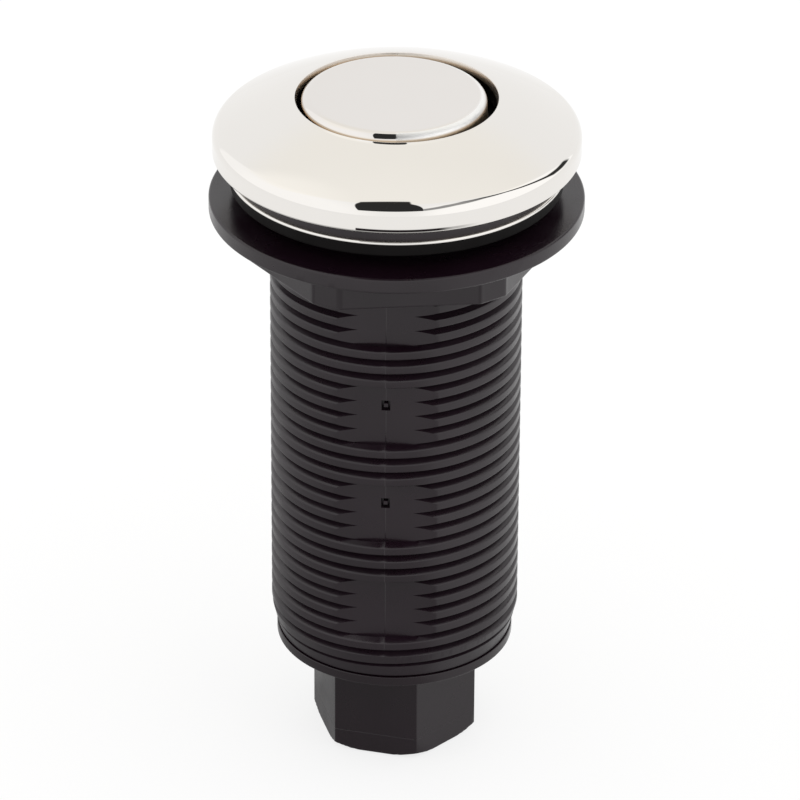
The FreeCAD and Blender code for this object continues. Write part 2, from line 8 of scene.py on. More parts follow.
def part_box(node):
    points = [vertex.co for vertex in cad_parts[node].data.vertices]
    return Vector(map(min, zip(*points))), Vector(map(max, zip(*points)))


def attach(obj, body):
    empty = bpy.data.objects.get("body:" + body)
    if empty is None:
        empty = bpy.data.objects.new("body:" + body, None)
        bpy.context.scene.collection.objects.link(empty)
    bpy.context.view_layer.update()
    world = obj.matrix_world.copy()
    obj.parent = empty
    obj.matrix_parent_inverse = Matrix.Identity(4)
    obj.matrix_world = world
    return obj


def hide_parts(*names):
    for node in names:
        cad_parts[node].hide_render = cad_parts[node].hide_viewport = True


# Looks of the sink top air switch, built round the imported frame.
# Sizes are in millimetres and directions in degrees; meshes are scaled to metres when they are made.

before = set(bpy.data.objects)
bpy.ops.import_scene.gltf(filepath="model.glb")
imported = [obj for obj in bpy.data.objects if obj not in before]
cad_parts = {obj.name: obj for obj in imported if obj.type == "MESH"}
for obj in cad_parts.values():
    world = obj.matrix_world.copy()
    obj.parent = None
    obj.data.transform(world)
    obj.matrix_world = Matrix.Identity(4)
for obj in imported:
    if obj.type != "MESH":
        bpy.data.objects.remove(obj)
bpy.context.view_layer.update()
MM = 0.001
HAIR = 0.01

# Thread on the barrel
THREAD_PITCH = 2.0
THREAD_ANGLE = 60.0
CREST_RADIUS = 15.875
ROOT_RADIUS = 15.045
THREAD_FIRST = 1.78
CREST_ROUND = 0.32
LEAD_IN_HEIGHT = 3.4
LEAD_IN_RADIUS = 15.025
RELIEF = 0.6
RELIEF_UNDERCUT = 0.1
THREAD_COLUMNS = 144
ENVELOPE_OVER = 0.3

# Parting line of the mould, front and back, and the flats on it
PARTING_DIRECTION = -94.7
PARTING_HALF_WIDTH = 0.07
PARTING_HEIGHT = 0.05
FLAT_DISTANCE = 14.63
FLAT_FIRST_TURN = 2
FLAT_TURNS = 4
FLAT_STEP_TURNS = 7
FLAT_ROWS = 4
MARK_SIZE = 1.1
MARK_TALL = 1.4
MARK_DEPTH = 0.9
MARK_ISLAND = 0.5
MARK_HEIGHT = 5.4
MARK_ROWS = (1, 2)

# Inside of the barrel
BARREL_BORE = 12.6
BUSH_HOLE = 6.09
MOUTH_RADIUS = 13.95
MOUTH_DEPTH = 7.2
HEAD_THICK = 3.0
HEAD_ROUND = 0.15

# End cap
HEX_FLATS = 18.8
HEX_HEIGHT = 13.9
HEX_DIRECTION = -14.6
HEX_EDGE_ROUND = 0.25
HEX_FOOT_RADIUS = 9.7
HEX_FOOT_HEIGHT = 0.9
HEX_FOOT_STEPS = 6
HEX_SEAM_HEIGHT = 2.8
HEX_SEAM_DEPTH = 0.05
HEX_SEAM_HALF = 0.06
DISC_RADIUS = 15.2
DISC_TOP = 15.4
SEAM_HEIGHT = 0.2
SEAM_DEPTH = 0.5
SOCKET_RADIUS = 7.4
CAP_FLOOR = 12.4
NIPPLE_RADIUS = 2.0
NIPPLE_TIP = 2.2
AIR_BORE = 1.1
SPIGOT_RADIUS = 12.55
SPIGOT_WALL = 2.95
GROOVE_FLOOR = 10.95
GROOVE_MIDDLE = 19.0
GROOVE_HALF = 1.1
STUB_RADIUS = 3.85
STUB_TOP = 21.0

# Flange nut
NUT_COLLAR = 18.82
NUT_CORNERS = 20.68
NUT_DIRECTION = -84.6
NUT_CORNER_ROUND = 0.5
NUT_FLANGE_THICK = 2.0
NUT_EDGE_ROUND = 0.3
NUT_BORE = 16.075
NUT_MOUTH = 0.6

# Trim and button
DOME_RADIUS = 46.0
DOME_CREST = 13.07
TRIM_EDGE_ROUND = 1.9
TRIM_FOOT_ROUND = 0.4
TRIM_HOLE = 12.35
ROLL_START = 12.68
ROLL_ROUND = 0.1
ROLL_END = 24.0
ROLL_SLOPE = 73.0
TRIM_WALL = 1.4
TRIM_HOLLOW_INSET = 5.35
HOLE_LIP_WIDTH = 1.03
HOLE_LIP_HEIGHT = 2.4
SHELF_HEIGHT = 2.6
NECK_SEAT = 20.2
LIP_RADIUS = 21.1
LIP_THICK = 0.58
TRIM_SEAT = 84.2
TRIM_BORE = 19.1
BUTTON_RADIUS = 11.6
BUTTON_EDGE_ROUND = 1.3
BUTTON_HEAD_HEIGHT = 3.6
BUTTON_TOP_THICK = 1.0
BUTTON_SKIRT = 11.54
BUTTON_BORE = 11.2
BUTTON_SKIRT_STEP = 0.4

# How far the button's cap and the trim's hole sit off the axis in the photo, to the left and to the front
BUTTON_PLAY = (-0.4, -0.25)
HOLE_PLAY = (-0.05, -0.3)
GUIDE_BORE = 11.7
GUIDE_HUB = 13.9
GUIDE_FLANGE = 16.4
WIPER_RADIUS = 14.74
WIPER_BASE = 1.0
WIPER_LIP_WALL = 0.5

# Camera, found by matching the rings of the part to the photograph
CAMERA_DISTANCE = 707.171740
CAMERA_ELEVATION = 0.470611639
CAMERA_TARGET_HEIGHT = 76.9
CAMERA_YAW = 0.000886598805
CAMERA_PITCH = 0.507235339
CAMERA_ROLL = 0.00574971906
CAMERA_LENS = 255.29


def box_mm(node):
    """Lowest and highest corner of a node, in millimetres."""
    low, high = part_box(node)
    return low / MM, high / MM


barrel_low, barrel_high = box_mm("threaded_barrel")
nut_low, nut_high = box_mm("flange_nut")
trim_low, trim_high = box_mm("trim_flange")
button_low, button_high = box_mm("button_cap")
cap_low, cap_high = box_mm("end_cap")

HEAD_BOTTOM = barrel_high.z - HEAD_THICK


def turn(direction):
    """Degrees to radians."""
    return math.radians(direction)


def polygon_radius(direction, faces, corner_round):
    """Distance from the axis to a polygon with round corners and faces of (normal, distance)."""
    reach = []
    for normal, distance in faces:
        across = math.cos(turn(direction - normal))
        reach.append(distance / across if across > 0.1 else math.inf)
    first = min(range(len(faces)), key=lambda k: reach[k])
    best = reach[first]
    for second in ((first + 1) % len(faces), (first - 1) % len(faces)):
        centre = inner_corner(faces[first], faces[second], corner_round)
        ray = Vector((math.cos(turn(direction)), math.sin(turn(direction))))
        along = centre.dot(ray)
        height = centre.length_squared - along * along
        if height < corner_round * corner_round:
            hit = ray * (along + math.sqrt(corner_round * corner_round - height))
            if between_normals(hit - centre, faces[first][0], faces[second][0]):
                best = min(best, hit.length)
    return best


def inner_corner(one, two, inset):
    """Where two faces meet when both are moved in by the corner's radius."""
    a, b = turn(one[0]), turn(two[0])
    p, q = one[1] - inset, two[1] - inset
    scale = math.sin(b - a)
    return Vector(((p * math.sin(b) - q * math.sin(a)) / scale, (q * math.cos(a) - p * math.cos(b)) / scale))


def between_normals(offset, one, two):
    """True where an offset from a corner's centre points between the normals of its two faces."""
    middle = turn((one + two) / 2 if abs(one - two) < 180 else (one + two) / 2 + 180)
    half = abs(math.remainder(turn(two - one), math.tau)) / 2
    away = math.remainder(math.atan2(offset.y, offset.x) - middle, math.tau)
    return abs(away) <= half


def hexagon_faces(inner, direction):
    """Six faces whose corners lie at the direction and every 60 degrees on."""
    return [(direction + 30 + 60 * k, inner) for k in range(6)]


def cut_hexagon_faces(inner, corners, direction):
    """Six long faces and the six short ones that cut their corners."""
    faces = []
    for k in range(6):
        faces.append((direction + 60 * k, inner))
        faces.append((direction + 60 * k + 30, corners))
    return faces


def corner_directions(faces):
    """Directions of a polygon's corners."""
    found = []
    for k in range(len(faces)):
        corner = inner_corner(faces[k], faces[(k + 1) % len(faces)], 0)
        found.append(math.degrees(math.atan2(corner.y, corner.x)))
    return found


def column_directions(count, corners=(), corner_half=0.0, corner_steps=4):
    """Directions of a mesh's columns: even steps, and finer ones across each rounded corner."""
    near = [k * corner_half / corner_steps for k in range(-corner_steps, corner_steps + 1)]
    fine = [(corner + offset) % 360 for corner in corners for offset in near]
    step = 360.0 / count
    even = [k * step for k in range(count)]
    spare = step / 3

    def clear(direction):
        return all(abs(math.remainder(direction - f, 360)) > spare for f in fine)

    return sorted([direction for direction in even if clear(direction)] + fine)


def arc_points(centre, radius, start, end, steps):
    """Points of an arc about (radius, height), between two directions in the profile's plane."""
    points = []
    for k in range(steps + 1):
        angle = turn(start + (end - start) * k / steps)
        points.append((centre[0] + radius * math.cos(angle), centre[1] + radius * math.sin(angle)))
    return points


def rounded_profile(points, steps=4):
    """Fillet a closed profile of (radius, height, fillet, bulge) and give (radius, height, bulge)."""
    full = [tuple(p) + (0.0, None)[len(p) - 2:] for p in points]
    result = []
    for k, (radius, height, fillet, bulge) in enumerate(full):
        here = Vector((radius, height))
        before = Vector(full[k - 1][:2]) - here
        after = Vector(full[(k + 1) % len(full)][:2]) - here
        if fillet <= 0:
            result.append((radius, height, bulge))
            continue
        before.normalize()
        after.normalize()
        half = before.angle(after) / 2
        centre = here + (before + after).normalized() * (fillet / math.sin(half))
        first = here + before * (fillet / math.tan(half)) - centre
        last = here + after * (fillet / math.tan(half)) - centre
        sweep = math.remainder(math.atan2(last.y, last.x) - math.atan2(first.y, first.x), math.tau)
        start = math.atan2(first.y, first.x)
        for step in range(steps + 1):
            angle = start + sweep * step / steps
            point = centre + Vector((math.cos(angle), math.sin(angle))) * fillet
            result.append((point.x, point.y, bulge))
    return result


def new_object(name, mesh_edit):
    """An object whose mesh is a bmesh in millimetres, scaled to metres."""
    bmesh.ops.recalc_face_normals(mesh_edit, faces=mesh_edit.faces)
    bmesh.ops.scale(mesh_edit, vec=(MM, MM, MM), verts=mesh_edit.verts)
    mesh = bpy.data.meshes.new(name)
    mesh_edit.to_mesh(mesh)
    mesh_edit.free()
    piece = bpy.data.objects.new(name, mesh)
    bpy.context.scene.collection.objects.link(piece)
    return piece


def skin(name, profile, columns):
    """Turn a closed profile of (radius, height, bulge) about the axis, where a bulge goes by direction."""
    edit = bmesh.new()
    rings = []
    for radius, height, bulge in profile:
        if radius < 1e-6:
            rings.append([edit.verts.new((0, 0, height))])
            continue
        ring = []
        for direction in columns:
            reach = radius + (bulge(direction) if bulge else 0.0)
            x, y = reach * math.cos(turn(direction)), reach * math.sin(turn(direction))
            ring.append(edit.verts.new((x, y, height)))
        rings.append(ring)
    for k, ring in enumerate(rings):
        join_rings(edit, ring, rings[(k + 1) % len(rings)])
    return new_object(name, edit)


def join_rings(edit, ring, above):
    """Faces between two rings, where either may be one point on the axis."""
    count = max(len(ring), len(above))
    if count == 1:
        return
    for k in range(count):
        nxt = (k + 1) % count
        corners = []
        below = (ring[k % len(ring)], ring[nxt % len(ring)])
        for vert in (*below, above[nxt % len(above)], above[k % len(above)]):
            if vert not in corners:
                corners.append(vert)
        edit.faces.new(corners)


def boolean(target, cutter, operation):
    """Apply a boolean and delete the cutter."""
    modifier = target.modifiers.new(operation, "BOOLEAN")
    modifier.object = cutter
    modifier.operation = operation
    modifier.solver = "MANIFOLD"
    applied(target)
    bpy.data.objects.remove(cutter)


def applied(piece):
    """Replace a piece's mesh by the one that its modifiers give."""
    bpy.context.view_layer.update()
    mesh = bpy.data.meshes.new_from_object(piece.evaluated_get(bpy.context.evaluated_depsgraph_get()))
    piece.modifiers.clear()
    piece.data = mesh


def shade(piece, sharp_angle=34.0):
    """Smooth faces, sharp edges above an angle, and normals weighted by face area."""
    edit = bmesh.new()
    edit.from_mesh(piece.data)
    for face in edit.faces:
        face.smooth = True
    for edge in edit.edges:
        edge.smooth = len(edge.link_faces) == 2 and edge.calc_face_angle(0) < turn(sharp_angle)
    edit.to_mesh(piece.data)
    edit.free()
    weighted = piece.modifiers.new("weighted_normals", "WEIGHTED_NORMAL")
    weighted.keep_sharp = True
    weighted.weight = 90


def dress(piece, body, slot, material, *nodes):
    """Shade a piece, give it its material, and let it ride and stand for CAD nodes."""
    shade(piece)
    piece.data.materials.clear()
    piece.data.materials.append(material)
    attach(piece, body)
    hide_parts(*nodes)


def node(tree, kind, **values):
    """A shader node with its inputs set by name or linked from sockets."""
    made = tree.nodes.new(kind)
    for name, value in values.items():
        key = name.replace("_", " ")
        target = made.inputs[key] if key in made.inputs else None
        if target is None:
            setattr(made, name, value)
        elif isinstance(value, bpy.types.NodeSocket):
            tree.links.new(value, target)
        else:
            target.default_value = value
    return made


def calc(tree, operation, *values):
    """The result of a maths node on numbers or sockets."""
    made = tree.nodes.new("ShaderNodeMath")
    made.operation = operation
    for socket, value in zip(made.inputs, values):
        if isinstance(value, bpy.types.NodeSocket):
            tree.links.new(value, socket)
        else:
            socket.default_value = value
    return made.outputs[0]


def remap(tree, value, low, high, to_low, to_high, kind="SMOOTHSTEP"):
    """A value mapped from one range to another and clamped, smoothly or straight."""
    made = tree.nodes.new("ShaderNodeMapRange")
    made.interpolation_type = kind
    tree.links.new(value, made.inputs["Value"])
    made.inputs["From Min"].default_value = low
    made.inputs["From Max"].default_value = high
    made.inputs["To Min"].default_value = to_low
    made.inputs["To Max"].default_value = to_high
    return made.outputs["Result"]


def noise(tree, scale, detail=4.0):
    """Noise over the object's own coordinates."""
    place = tree.nodes.new("ShaderNodeTexCoord")
    made = tree.nodes.new("ShaderNodeTexNoise")
    tree.links.new(place.outputs["Object"], made.inputs["Vector"])
    made.inputs["Scale"].default_value = scale
    made.inputs["Detail"].default_value = detail
    return made.outputs["Fac"]


def blend_colours(tree, factor, one, two):
    """A mix of two colours by a socket."""
    made = tree.nodes.new("ShaderNodeMix")
    made.data_type = "RGBA"
    tree.links.new(factor, made.inputs["Factor"])
    made.inputs[6].default_value = (*one, 1.0)
    made.inputs[7].default_value = (*two, 1.0)
    return made.outputs[2]


# Noise of every material: the part of its range that is used, the finer cloud for roughness, and the grain
NOISE_SPAN = (0.3, 0.7)
CLOUD_FINER = 3.1
CLOUD_DETAIL = 6.0
GRAIN_DEPTH = 0.02
GRAIN_DETAIL = 3.0


def surface(name, low, high, rough_low, rough_high, grain, bump, metallic=0.0, mottle=40.0):
    """A material whose colour and roughness wander with noise, with a fine grain as bump."""
    material = bpy.data.materials.new(name)
    material.use_nodes = True
    tree = material.node_tree
    shader = tree.nodes["Principled BSDF"]
    shader.inputs["Metallic"].default_value = metallic
    wander = remap(tree, noise(tree, mottle), *NOISE_SPAN, 0.0, 1.0)
    tree.links.new(blend_colours(tree, wander, low, high), shader.inputs["Base Color"])
    cloud = noise(tree, mottle * CLOUD_FINER, CLOUD_DETAIL)
    tree.links.new(remap(tree, cloud, *NOISE_SPAN, rough_low, rough_high), shader.inputs["Roughness"])
    if bump:
        height = tree.nodes.new("ShaderNodeBump")
        height.inputs["Strength"].default_value = bump
        height.inputs["Distance"].default_value = GRAIN_DEPTH * MM
        tree.links.new(noise(tree, grain, GRAIN_DETAIL), height.inputs["Height"])
        tree.links.new(height.outputs["Normal"], shader.inputs["Normal"])
    return material


def tint(material, tone, mask_of, rough=0.0):
    """Mix a material towards a tone, and make it rougher, where a mask of the place is one."""
    tree = material.node_tree
    shader = tree.nodes["Principled BSDF"]
    colour = shader.inputs["Base Color"].links[0].from_socket
    fine = shader.inputs["Roughness"].links[0].from_socket
    place = tree.nodes.new("ShaderNodeTexCoord")
    split = tree.nodes.new("ShaderNodeSeparateXYZ")
    tree.links.new(place.outputs["Object"], split.inputs[0])
    mask = mask_of(tree, split)
    made = tree.nodes.new("ShaderNodeMix")
    made.data_type = "RGBA"
    tree.links.new(mask, made.inputs["Factor"])
    tree.links.new(colour, made.inputs[6])
    made.inputs[7].default_value = (*tone, 1.0)
    tree.links.new(made.outputs[2], shader.inputs["Base Color"])
    tree.links.new(calc(tree, "ADD", fine, calc(tree, "MULTIPLY", mask, rough)), shader.inputs["Roughness"])


def span(tree, value, low, high, to_low, to_high):
    """A value of the place in millimetres mapped smoothly."""
    return remap(tree, value, low * MM, high * MM, to_low, to_high)


def from_axis(tree, split):
    """Distance from the part's axis."""
    x, y = split.outputs[0], split.outputs[1]
    return calc(tree, "SQRT", calc(tree, "ADD", calc(tree, "MULTIPLY", x, x), calc(tree, "MULTIPLY", y, y)))


# Painted shade in the gap round the button, brown and dark: heights on the button, distances and heights on
# the hole's wall
GAP_SHADE_TONE = (0.62, 0.50, 0.37)
GAP_HEIGHTS = (89.75, 90.05)
WALL_SHADE_TONE = (0.80, 0.75, 0.70)
WALL_REACH = (12.55, 12.7)
WALL_ROUGH = 0.25
DEEP_SHADE_TONE = (0.05, 0.03, 0.024)
DEEP_REACH = (12.75, 12.95)
DEEP_HEIGHTS = (89.3, 89.5)

# Painted dark reflection, a stripe at the foot of the trim's front wall: it starts, stays full, turns faint
# and ends to the right
STRIPE_REFLECTION_TONE = (0.012, 0.009, 0.01)
STRIPE_HEIGHT = 83.28
STRIPE_HALF = (0.102, 0.221)
STRIPE_REACH = (-5.0, -4.9, 5.0, 7.0, 10.5)
STRIPE_FAINT = 0.45
STRIPE_FRONT = (-22.0, -18.0)

# Painted highlight on the right part of the button's rounded edge, which is also made rougher there
EDGE_HIGHLIGHT_TONE = (0.93, 0.925, 0.91)
EDGE_HEIGHTS = (90.5, 90.63)
EDGE_ROUGH = 0.4
EDGE_START = (-0.35, 0.1)


def button_foot_painted_shade(tree, split):
    """The button's edge down in its gap, where a brown shade is painted."""
    return span(tree, split.outputs[2], *GAP_HEIGHTS, 1.0, 0.0)


def hole_wall_painted_shade(tree, split):
    """The wall of the trim's hole, where a warm shade is painted and the metal is rougher."""
    return span(tree, from_axis(tree, split), *WALL_REACH, 1.0, 0.0)


def hole_depth_painted_shade(tree, split):
    """The lower part of that wall, where a near-black shade is painted."""
    at_hole = span(tree, from_axis(tree, split), *DEEP_REACH, 1.0, 0.0)
    return calc(tree, "MULTIPLY", at_hole, span(tree, split.outputs[2], *DEEP_HEIGHTS, 1.0, 0.0))


def painted_dark_reflection(tree, split):
    """The short dark reflection painted at the foot of the trim's front wall."""
    mask = calc(tree, "ABSOLUTE", calc(tree, "SUBTRACT", split.outputs[2], STRIPE_HEIGHT * MM))
    mask = span(tree, mask, *STRIPE_HALF, 1.0, 0.0)
    left, start, full, faint, end = STRIPE_REACH
    mask = calc(tree, "MULTIPLY", mask, span(tree, split.outputs[0], left, start, 0.0, 1.0))
    mask = calc(tree, "MULTIPLY", mask, span(tree, split.outputs[0], full, faint, 1.0, STRIPE_FAINT))
    mask = calc(tree, "MULTIPLY", mask, span(tree, split.outputs[0], faint, end, 1.0, 0.0))
    return calc(tree, "MULTIPLY", mask, span(tree, split.outputs[1], *STRIPE_FRONT, 1.0, 0.0))


def right_edge_painted_highlight(tree, split):
    """The button's rounded edge on its right, where a lighter highlight is painted."""
    edge = span(tree, split.outputs[2], *EDGE_HEIGHTS, 1.0, 0.0)
    return calc(tree, "MULTIPLY", edge, span(tree, split.outputs[0], *EDGE_START, 0.0, 1.0))


GASKET_SHEEN = 0.1


def make_materials():
    """Every material, by the slot that it belongs to."""
    made = {
        "metal_trim": surface(
            "polished_nickel_trim", (0.80, 0.775, 0.742), (0.82, 0.797, 0.765),
            0.008, 0.02, 900, 0.0, 1.0, 25.0
        ),
        "metal_button": surface(
            "polished_nickel_button", (0.765, 0.735, 0.706), (0.785, 0.755, 0.725),
            0.01, 0.025, 900, 0.0, 1.0, 30.0
        ),
        "barrel_plastic": surface(
            "moulded_black_plastic", (0.008, 0.0026, 0.006), (0.0115, 0.0048, 0.009),
            0.26, 0.36, 5200, 0.35, 0.0, 90.0
        ),
        "nut_plastic": surface(
            "moulded_nut_plastic", (0.0075, 0.0026, 0.0055), (0.0105, 0.0045, 0.0083),
            0.2, 0.28, 4200, 0.18, 0.0, 70.0
        ),
        "cap_plastic": surface(
            "moulded_cap_plastic", (0.0068, 0.0018, 0.0045), (0.0098, 0.0037, 0.0072),
            0.2, 0.28, 4200, 0.18, 0.0, 70.0
        ),
        "inner_plastic": surface(
            "brown_acetal", (0.045, 0.026, 0.02), (0.06, 0.035, 0.028),
            0.35, 0.45, 3000, 0.15, 0.0, 60.0
        ),
        "bush_plastic": surface(
            "pale_bush_plastic", (0.62, 0.61, 0.58), (0.68, 0.67, 0.64),
            0.35, 0.45, 3000, 0.15, 0.0, 60.0
        ),
        "gasket_rubber": surface(
            "gasket_rubber", (0.0035, 0.003, 0.003), (0.006, 0.005, 0.005),
            0.5, 0.65, 6000, 0.4, 0.0, 80.0
        ),
        "rubber": surface(
            "black_rubber", (0.006, 0.006, 0.006), (0.011, 0.010, 0.010),
            0.5, 0.65, 6000, 0.4, 0.0, 80.0
        ),
        "steel": surface(
            "bright_steel", (0.55, 0.55, 0.54), (0.62, 0.62, 0.61),
            0.18, 0.3, 2500, 0.1, 1.0, 60.0
        ),
    }
    gasket = made["gasket_rubber"].node_tree.nodes["Principled BSDF"]
    gasket.inputs["Specular IOR Level"].default_value = GASKET_SHEEN
    # Painted highlight on the button's rounded edge, to its right, which is also made rougher.
    tint(made["metal_button"], EDGE_HIGHLIGHT_TONE, right_edge_painted_highlight, EDGE_ROUGH)
    # Painted brown shade on the button's foot, down in its gap.
    tint(made["metal_button"], GAP_SHADE_TONE, button_foot_painted_shade)
    # Painted warm shade on the wall of the trim's hole, which is also made rougher.
    tint(made["metal_trim"], WALL_SHADE_TONE, hole_wall_painted_shade, WALL_ROUGH)
    # Painted near-black shade on the lower part of the hole's wall.
    tint(made["metal_trim"], DEEP_SHADE_TONE, hole_depth_painted_shade)
    # Painted dark reflection at the foot of the trim's front wall.
    tint(made["metal_trim"], STRIPE_REFLECTION_TONE, painted_dark_reflection)
    return made


def groove_slope():
    """How far a thread flank runs along the axis for each millimetre of depth."""
    return math.tan(turn(THREAD_ANGLE / 2))


def thread_section():
    """One pitch of the thread as (height, radius), from one root to just before the next."""
    half = (CREST_RADIUS - ROOT_RADIUS) * groove_slope()
    corners = (
        (ROOT_RADIUS, 0.0),
        (CREST_RADIUS, half, CREST_ROUND),
        (CREST_RADIUS, THREAD_PITCH - half, CREST_ROUND),
        (ROOT_RADIUS, THREAD_PITCH),
    )
    outline = rounded_profile([(ROOT_RADIUS - 1, -1), *corners, (ROOT_RADIUS - 1, THREAD_PITCH + 1)], 5)
    points = [(height, radius) for radius, height, bulge in outline]
    return [p for p in points if -1e-6 <= p[0] < THREAD_PITCH - 1e-6]


def parting_bump(direction):
    """Height of the mould's parting line at a direction."""
    away = min(abs(math.remainder(direction - PARTING_DIRECTION - side, 360)) for side in (0, 180))
    return PARTING_HEIGHT * max(0.0, 1 - turn(away) * CREST_RADIUS / PARTING_HALF_WIDTH)


def thread_rod():
    """A rod with the right-hand thread, a little longer than the barrel's shaft at both ends."""
    section = thread_section()
    start = barrel_low.z + THREAD_FIRST - 2 * THREAD_PITCH
    turns = math.ceil((HEAD_BOTTOM - start) / THREAD_PITCH) + 1
    line_half = math.degrees(PARTING_HALF_WIDTH / CREST_RADIUS)
    spans = column_directions(THREAD_COLUMNS, (PARTING_DIRECTION, PARTING_DIRECTION + 180), line_half, 1)
    spans = sorted((direction - PARTING_DIRECTION) % 360 for direction in spans)
    edit = bmesh.new()
    grid = []
    for span in spans:
        direction = PARTING_DIRECTION + span
        rise = THREAD_PITCH * span / 360
        column = []
        for lap in range(turns):
            for height, radius in section:
                reach = radius + parting_bump(direction)
                place = (
                    reach * math.cos(turn(direction)),
                    reach * math.sin(turn(direction)),
                    start + lap * THREAD_PITCH + height + rise,
                )
                column.append(edit.verts.new(place))
        grid.append(column)
    join_columns(edit, grid, len(section))
    return new_object("barrel", edit)


def join_columns(edit, grid, shift):
    """Faces between the rod's columns, where the last meets the first one pitch up, and its two ends."""
    count, rows = len(grid), len(grid[0])
    for k in range(count - 1):
        for row in range(rows - 1):
            edit.faces.new((grid[k][row], grid[k + 1][row], grid[k + 1][row + 1], grid[k][row + 1]))
    for row in range(rows - 1 - shift):
        edit.faces.new((grid[-1][row], grid[0][row + shift], grid[0][row + shift + 1], grid[-1][row + 1]))
    low = edit.verts.new((0, 0, grid[0][0].co.z))
    high = edit.verts.new((0, 0, grid[-1][-1].co.z))
    first = [column[0] for column in grid] + [grid[0][row] for row in range(shift, -1, -1)]
    last = [column[-1] for column in grid]
    last += [grid[-1][row] for row in range(rows - 2, rows - 2 - shift, -1)] + [grid[0][-1]]
    for loop, middle in ((first, low), (last, high)):
        for k in range(len(loop) - 1):
            edit.faces.new((loop[k], loop[k + 1], middle))


def shaft_envelope():
    """The turned outside of the shaft: lead-in cone, crest and relief under the head."""
    over = ENVELOPE_OVER
    relief = HEAD_BOTTOM - RELIEF
    slope = (CREST_RADIUS - LEAD_IN_RADIUS) / LEAD_IN_HEIGHT
    profile = [
        (0, barrel_low.z, None),
        (LEAD_IN_RADIUS, barrel_low.z, None),
        (CREST_RADIUS + over, barrel_low.z + LEAD_IN_HEIGHT + over / slope, None),
        (CREST_RADIUS + over, relief, None),
        (ROOT_RADIUS - RELIEF_UNDERCUT, relief, None),
        (ROOT_RADIUS - RELIEF_UNDERCUT, HEAD_BOTTOM + 1, None),
        (0, HEAD_BOTTOM + 1, None),
    ]
    return skin("envelope", profile, column_directions(180))


def barrel_head():
    """The round head that the trim sits on."""
    profile = [
        (0, HEAD_BOTTOM),
        (barrel_high.x, HEAD_BOTTOM, HEAD_ROUND),
        (barrel_high.x, barrel_high.z, HEAD_ROUND),
        (0, barrel_high.z),
    ]
    return skin("head", rounded_profile(profile), column_directions(180))


def barrel_bores():
    """Cutter for the bores, the web's hole and the mouth."""
    web_low = box_mm("guide_bush")[0].z
    web_high = box_mm("spring_seat_washer")[0].z
    profile = [
        (0, barrel_low.z - 1, None),
        (BARREL_BORE, barrel_low.z - 1, None),
        (BARREL_BORE, web_low, None),
        (BUSH_HOLE, web_low, None),
        (BUSH_HOLE, web_high, None),
        (BARREL_BORE, web_high, None),
        (BARREL_BORE, barrel_high.z - MOUTH_DEPTH, None),
        (MOUTH_RADIUS, barrel_high.z - MOUTH_DEPTH, None),
        (MOUTH_RADIUS, barrel_high.z + 1, None),
        (0, barrel_high.z + 1, None),
    ]
    return skin("bores", profile, column_directions(120))


def flat_bottom(row):
    """Height of a row of flats."""
    return barrel_low.z + THREAD_FIRST + (FLAT_FIRST_TURN + row * FLAT_STEP_TURNS) * THREAD_PITCH


def add_prism(edit, outline, bottom, top, direction):
    """Add a prism with an outline of (outward, across) points, turned to a direction."""
    spin = Matrix.Rotation(turn(direction), 3, "Z")
    low = [edit.verts.new(spin @ Vector((x, y, bottom))) for x, y in outline]
    high = [edit.verts.new(spin @ Vector((x, y, top))) for x, y in outline]
    edit.faces.new(low)
    edit.faces.new(high)
    for k in range(len(outline)):
        nxt = (k + 1) % len(outline)
        edit.faces.new((low[k], low[nxt], high[nxt], high[k]))


def flat_cutters():
    """Cutter for the flats, with a notch that leaves the parting line standing."""
    edit = bmesh.new()
    height = FLAT_TURNS * THREAD_PITCH + (CREST_RADIUS - ROOT_RADIUS) * groove_slope()
    outer = 2 * CREST_RADIUS
    outline = (
        (FLAT_DISTANCE, -CREST_RADIUS),
        (FLAT_DISTANCE, -PARTING_HALF_WIDTH),
        (FLAT_DISTANCE + PARTING_HEIGHT, 0),
        (FLAT_DISTANCE, PARTING_HALF_WIDTH),
        (FLAT_DISTANCE, CREST_RADIUS),
        (outer, CREST_RADIUS),
        (outer, -CREST_RADIUS),
    )
    for side in (0, 180):
        for row in range(FLAT_ROWS):
            bottom = flat_bottom(row)
            add_prism(edit, outline, bottom, bottom + height, PARTING_DIRECTION + side)
    return new_object("flats", edit)


def mark_blocks(name, wide, tall, inner, outer):
    """Blocks at the small bare marks on two of the front flats."""
    edit = bmesh.new()
    outline = ((inner, -wide / 2), (inner, wide / 2), (outer, wide / 2), (outer, -wide / 2))
    for row in MARK_ROWS:
        middle = flat_bottom(row) + MARK_HEIGHT
        add_prism(edit, outline, middle - tall / 2, middle + tall / 2, PARTING_DIRECTION)
    return new_object(name, edit)


def make_barrel(materials):
    """The threaded barrel with its flats, parting line, marks, head and bores."""
    barrel = thread_rod()
    boolean(barrel, shaft_envelope(), "INTERSECT")
    boolean(barrel, barrel_head(), "UNION")
    boolean(barrel, barrel_bores(), "DIFFERENCE")
    boolean(barrel, flat_cutters(), "DIFFERENCE")
    sunk = FLAT_DISTANCE - MARK_DEPTH
    boolean(barrel, mark_blocks("sunk", MARK_SIZE, MARK_TALL, sunk, FLAT_DISTANCE + 1), "DIFFERENCE")
    boolean(barrel, mark_blocks("island", MARK_ISLAND, MARK_ISLAND, sunk - 1, FLAT_DISTANCE - 0.05), "UNION")
    dress(barrel, "switch_body", "barrel_plastic", materials["barrel_plastic"], "threaded_barrel")


